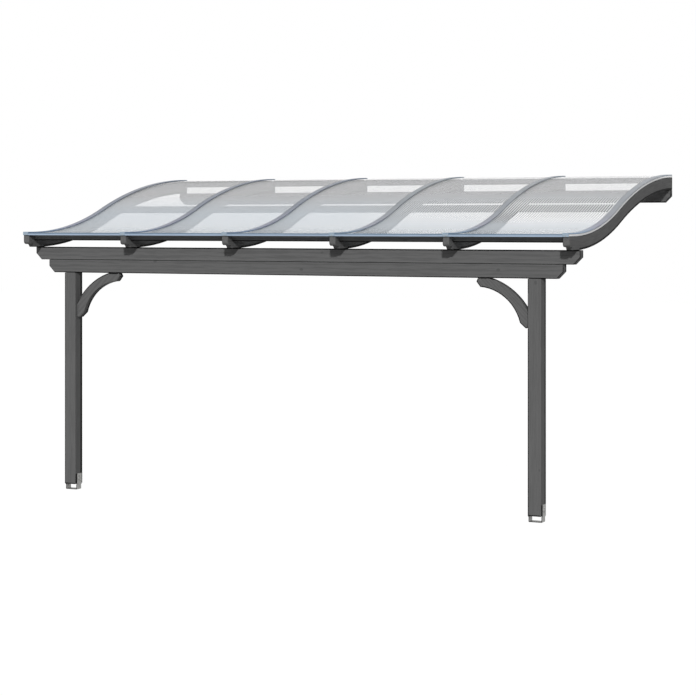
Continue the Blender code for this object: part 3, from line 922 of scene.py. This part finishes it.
def makeSeals(n):
    low, high = seal["foot"], seal["head"]
    bm = bmesh.new()
    for side in (-1, 1):
        inside, outside, bulge = side * seal["inside"], side * seal["outside"], side * seal["bulge"]
        outline = [(inside, low), (outside, low), (bulge, (low + high) / 2),
                   (outside, high), (inside, high)]
        section = sectionFace(bm, outline, rafterCentres[n], 0.0)
        extrudeAlong(bm, [section], roofStations(0.0, roofDepth - cover["rearStop"]))
    bendToRoof(bm)
    finishPiece(bm, "cover_seals_%d" % (n + 1), [sealRubber])


# The plate that closes a strip's front end
cap = {
    "top": 0.027,
    "drop": 0.005,
    "thick": 0.0025,
    "corner": 0.0018,
    "ease": 0.0007,
    "sharpAngle": 60,
    "behind": 0.0006,     # how far behind the strip's front it starts
}


def makeFrontCap(n):
    half, top, foot, corner = cover["half"], cap["top"], -cap["drop"], cap["corner"]
    outline = [(-half, foot), (half, foot), (half, top - corner), (half - corner, top),
               (-half + corner, top), (-half, top - corner)]
    bm = bmesh.new()
    section = sectionFace(bm, outline, rafterCentres[n], 0.0)
    extrudeAlong(bm, [section], (0, cap["thick"]))
    bmesh.ops.recalc_face_normals(bm, faces=bm.faces[:])
    # its eased edges get the painted shade line
    for face in easeEdges(bm, cap["sharpAngle"], cap["ease"]):
        face.material_index = 1
    bmesh.ops.translate(bm, verts=bm.verts[:], vec=(0, coverFrontY + cap["behind"], frontTopZ))
    finishPiece(bm, "cover_front_cap_%d" % (n + 1), [coverCap, coverShadeLine])


# Screws through each strip, and one in its cap
screw = {
    "first": 0.16,
    "every": 0.36,
    "rearStop": 0.08,
    "sides": 12,
    "headRadius": 0.0048,
    "headHeight": 0.0008,
    "capHeadRadius": 0.0052,
    "capHeadHeight": 0.0007,
    "dome": 0.82,         # the head's flat top against its foot
    "drive": 0.5,         # the drive against the flat top
    "driveDepth": 0.55,   # against the head's height
    "seat": 0.0262,       # foot of the head above the rafter
    "capSeat": (0.0008, 0.001),
    "shankSides": 10,
    "shankRadius": 0.0025,
    "shankLength": 0.0240,
    "shankMiddle": 0.0127,
}


def addHead(bm, place, axis, radius, height):
    # a domed head with a sunk drive; the axis has a length of one
    outward = Vector(axis)
    top = radius * screw["dome"]
    made = addRound(bm, Vector(place) + outward * height / 2, outward, screw["sides"], height, radius, top)
    bm.normal_update()
    flats = [f for f in {f for v in made["verts"] for f in v.link_faces} if f.normal.dot(outward) > 0.95]
    bmesh.ops.inset_individual(bm, faces=flats, thickness=top * (1 - screw["drive"]), depth=0.0)
    made = bmesh.ops.extrude_discrete_faces(bm, faces=flats)
    bmesh.ops.translate(bm, verts=list({v for f in made["faces"] for v in f.verts}),
                        vec=-outward * height * screw["driveDepth"])


def makeScrews(n):
    centre = rafterCentres[n]
    behind, above = screw["capSeat"]
    bm = bmesh.new()
    addHead(bm, (centre, coverFrontY + behind, frontTopZ + above), toFront,
            screw["capHeadRadius"], screw["capHeadHeight"])
    back = screw["first"]
    while back < roofDepth - screw["rearStop"]:
        slope = slopeAt(back)
        up = Vector((0, -math.sin(slope), math.cos(slope)))
        onRafter = Vector((centre, rafterFrontY + back, rafterTopAt(back)))
        seat = onRafter + Vector((0, 0, screw["seat"] / math.cos(slope)))
        addHead(bm, seat, up, screw["headRadius"], screw["headHeight"])
        middle = onRafter + Vector((0, 0, screw["shankMiddle"] / math.cos(slope)))
        addRound(bm, middle, up, screw["shankSides"], screw["shankLength"], screw["shankRadius"])
        back += screw["every"]
    finishPiece(bm, "cover_screws_%d" % (n + 1), [screwSteel], weighted=False,
                smooth=False)


for n in range(bayCount + 1):
    makeCover(n)
    makeSeals(n)
    makeFrontCap(n)
    makeScrews(n)
print("cover strips ready")


# Front edge profiles, their upper face painted darker as shade, and the tape over each sheet's open rear
# end
profile = {
    "ease": 0.0006,
    "sharpAngle": 50,
    "splitAbove": 0.0085,   # the painted shade on the upper face starts this far above the rafter top
    "tape": 0.0006,
    "tapeLeg": 0.018,
    "tapeFoot": 0.0003,
    "tapeSide": 0.0005,     # short of the sheet's sides
    "tapeRear": 0.0004,     # short of the wall
}


def makeEdgeProfile(n):
    node = "front_edge_profile_%d" % n
    bm = cadCopy(node)
    splitZ = frontTopZ + profile["splitAbove"]
    cutAt(bm, (0, 0, splitZ), toTop)
    easeEdges(bm, profile["sharpAngle"], profile["ease"])
    for face in bm.faces:
        face.material_index = 0 if face.calc_center_median().z > splitZ else 1
    finishPiece(bm, "edge_profile_%d" % n, [shadedProfileUpper, profileLower], (node,))


def makeRearClosure(n):
    low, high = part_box("roof_panel_%d" % n)
    thick, leg, foot = profile["tape"], profile["tapeLeg"], profile["tapeFoot"]
    head = foot + sheet["thickness"]
    outline = [(0.0, head), (0.0, head + thick), (leg, head + thick), (leg, foot), (leg - thick, foot),
               (leg - thick, head)]
    bm = bmesh.new()
    frontY = roofDepth - profile["tapeRear"] - leg
    section = bm.faces.new([bm.verts.new((low.x + profile["tapeSide"], frontY + back, z))
                            for back, z in outline])
    made = bmesh.ops.extrude_face_region(bm, geom=[section])
    movedOn(bm, made, (high.x - low.x - 2 * profile["tapeSide"], 0, 0))
    bendToRoof(bm)
    finishPiece(bm, "rear_closure_%d" % n, [closureClear], smooth=False, weighted=False)


for n in range(1, bayCount + 1):
    makeEdgeProfile(n)
    makeRearClosure(n)
print("edge profiles ready")


# Bent steel feet with their bolts
steelFoot = {
    "ease": 0.0012,
    "sharpAngle": 60,
    "boltHeights": (0.123, 0.087),
    "boltEase": 0.0004,
    "boltSharpAngle": 50,
    "washerSides": 24,
    "washerRadius": 0.0105,
    "washerThick": 0.0016,
    "headSides": 6,
    "headRadius": 0.0075,
    "headThick": 0.0055,
}


def makeFoot(side):
    node = "post_bracket_" + side
    bm = cadCopy(node)
    easeEdges(bm, steelFoot["sharpAngle"], steelFoot["ease"])
    bm.normal_update()
    for face in bm.faces:
        if abs(face.normal.y) > 0.3:
            face.material_index = 1
    finishPiece(bm, "steel_foot_" + side, [zincSteel, cutSteel], (node,))


def makeFootBolts(side):
    low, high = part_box("post_bracket_" + side)
    washer, head = steelFoot["washerThick"], steelFoot["headThick"]
    bm = bmesh.new()
    for outward, faceX in ((-1, low.x), (1, high.x)):
        axis = Vector((outward, 0, 0))
        for height in steelFoot["boltHeights"]:
            seat = Vector((faceX, (low.y + high.y) / 2, groundZ + height))
            addRound(bm, seat + axis * washer / 2, axis, steelFoot["washerSides"], washer,
                     steelFoot["washerRadius"])
            addRound(bm, seat + axis * (washer + head / 2), axis, steelFoot["headSides"], head,
                     steelFoot["headRadius"])
    bmesh.ops.recalc_face_normals(bm, faces=bm.faces[:])
    easeEdges(bm, steelFoot["boltSharpAngle"], steelFoot["boltEase"], segments=1)
    finishPiece(bm, "foot_bolts_" + side, [screwSteel])


for side in ("left", "right"):
    makeFoot(side)
    makeFootBolts(side)
print("feet ready")


# Pale floor, soft key from the front right, even fill
studio = {
    "keyStrength": 2.22,
    "keyAngle": 2.5,
    "keyTravel": (-0.47, 1.0, -0.51),
    "sky": 0.10,          # even part of the sky
    "skyOverhead": 0.36,  # added towards straight up
    "skyFront": 0.56,     # added towards the open front
    "floorHalf": 40.0,
    "floorTone": 0.34,
    "floorOwnWhite": 0.90,  # how much of what the camera sees of the floor is its own white
    "floorWhite": 1.10,
}


def seenDirectly(nodes, links):
    # 1 where the camera, a reflection or clear material looks at the background
    path = nodes.new("ShaderNodeLightPath")
    seen = mathNode(nodes, links, "MAXIMUM", path.outputs["Is Camera Ray"], path.outputs["Is Glossy Ray"])
    return mathNode(nodes, links, "MAXIMUM", seen, path.outputs["Is Transmission Ray"])


bm = bmesh.new()
bmesh.ops.create_grid(bm, x_segments=1, y_segments=1, size=studio["floorHalf"])
bmesh.ops.translate(bm, verts=bm.verts[:], vec=(0, 0, groundZ))
floorMesh = bpy.data.meshes.new("studio_floor")
bm.to_mesh(floorMesh)
bm.free()
floor = bpy.data.objects.new("studio_floor", floorMesh)
bpy.context.collection.objects.link(floor)
floorMaterial, nodes, links = newMaterial("studio_floor")
nodes.remove(nodes["Principled BSDF"])
lit = nodes.new("ShaderNodeBsdfDiffuse")
lit.inputs["Color"].default_value = (*grey(studio["floorTone"]), 1)
white = nodes.new("ShaderNodeEmission")
white.inputs["Strength"].default_value = studio["floorWhite"]
mix = nodes.new("ShaderNodeMixShader")
ownWhite = mathNode(nodes, links, "MULTIPLY", seenDirectly(nodes, links), studio["floorOwnWhite"])
links.new(ownWhite, mix.inputs[0])
links.new(lit.outputs[0], mix.inputs[1])
links.new(white.outputs[0], mix.inputs[2])
links.new(mix.outputs[0], nodes["Material Output"].inputs["Surface"])
floorMesh.materials.append(floorMaterial)

world = bpy.data.worlds.new("studio")
bpy.context.scene.world = world
world.use_nodes = True
nodes = world.node_tree.nodes
links = world.node_tree.links
background = nodes["Background"]
background.inputs["Color"].default_value = (1, 1, 1, 1)
direction = nodes.new("ShaderNodeSeparateXYZ")
links.new(nodes.new("ShaderNodeTexCoord").outputs["Generated"], direction.inputs["Vector"])
overhead = mathNode(nodes, links, "MAXIMUM", direction.outputs["Z"], 0.0)
towardsFront = mathNode(nodes, links, "MULTIPLY", direction.outputs["Y"], -1.0)
front = mathNode(nodes, links, "MAXIMUM", towardsFront, 0.0)
sky = sumOf(nodes, links, (overhead, studio["skyOverhead"]), (front, studio["skyFront"]))
sky = mathNode(nodes, links, "ADD", sky, studio["sky"])
strength = blend(nodes, links, "FLOAT", seenDirectly(nodes, links), sky, 1.0)
links.new(strength, background.inputs["Strength"])

keyLight = bpy.data.lights.new("key", "SUN")
keyLight.energy = studio["keyStrength"]
keyLight.angle = math.radians(studio["keyAngle"])
key = bpy.data.objects.new("key", keyLight)
key.rotation_euler = Vector(studio["keyTravel"]).to_track_quat("-Z", "Y").to_euler()
bpy.context.collection.objects.link(key)

# Photo camera: level, with the frame raised by a lens shift
camera = {
    "lens": 101.08,
    "turn": 26.102,
    "place": (8.1086, -18.036, -0.2472),
    "shiftY": -0.18055,
}
cameraData = bpy.data.cameras.new("photo_camera")
cameraData.lens = camera["lens"]
cameraData.sensor_width = 36.0
cameraData.sensor_fit = "HORIZONTAL"
cameraData.shift_y = camera["shiftY"]
cameraData.clip_end = 200.0
photoCamera = bpy.data.objects.new("photo_camera", cameraData)
photoCamera.location = camera["place"]
photoCamera.rotation_euler = (math.radians(90.0), 0.0, math.radians(camera["turn"]))
bpy.context.collection.objects.link(photoCamera)
bpy.context.scene.camera = photoCamera
bpy.context.scene.view_settings.view_transform = "Standard"
print("studio ready")
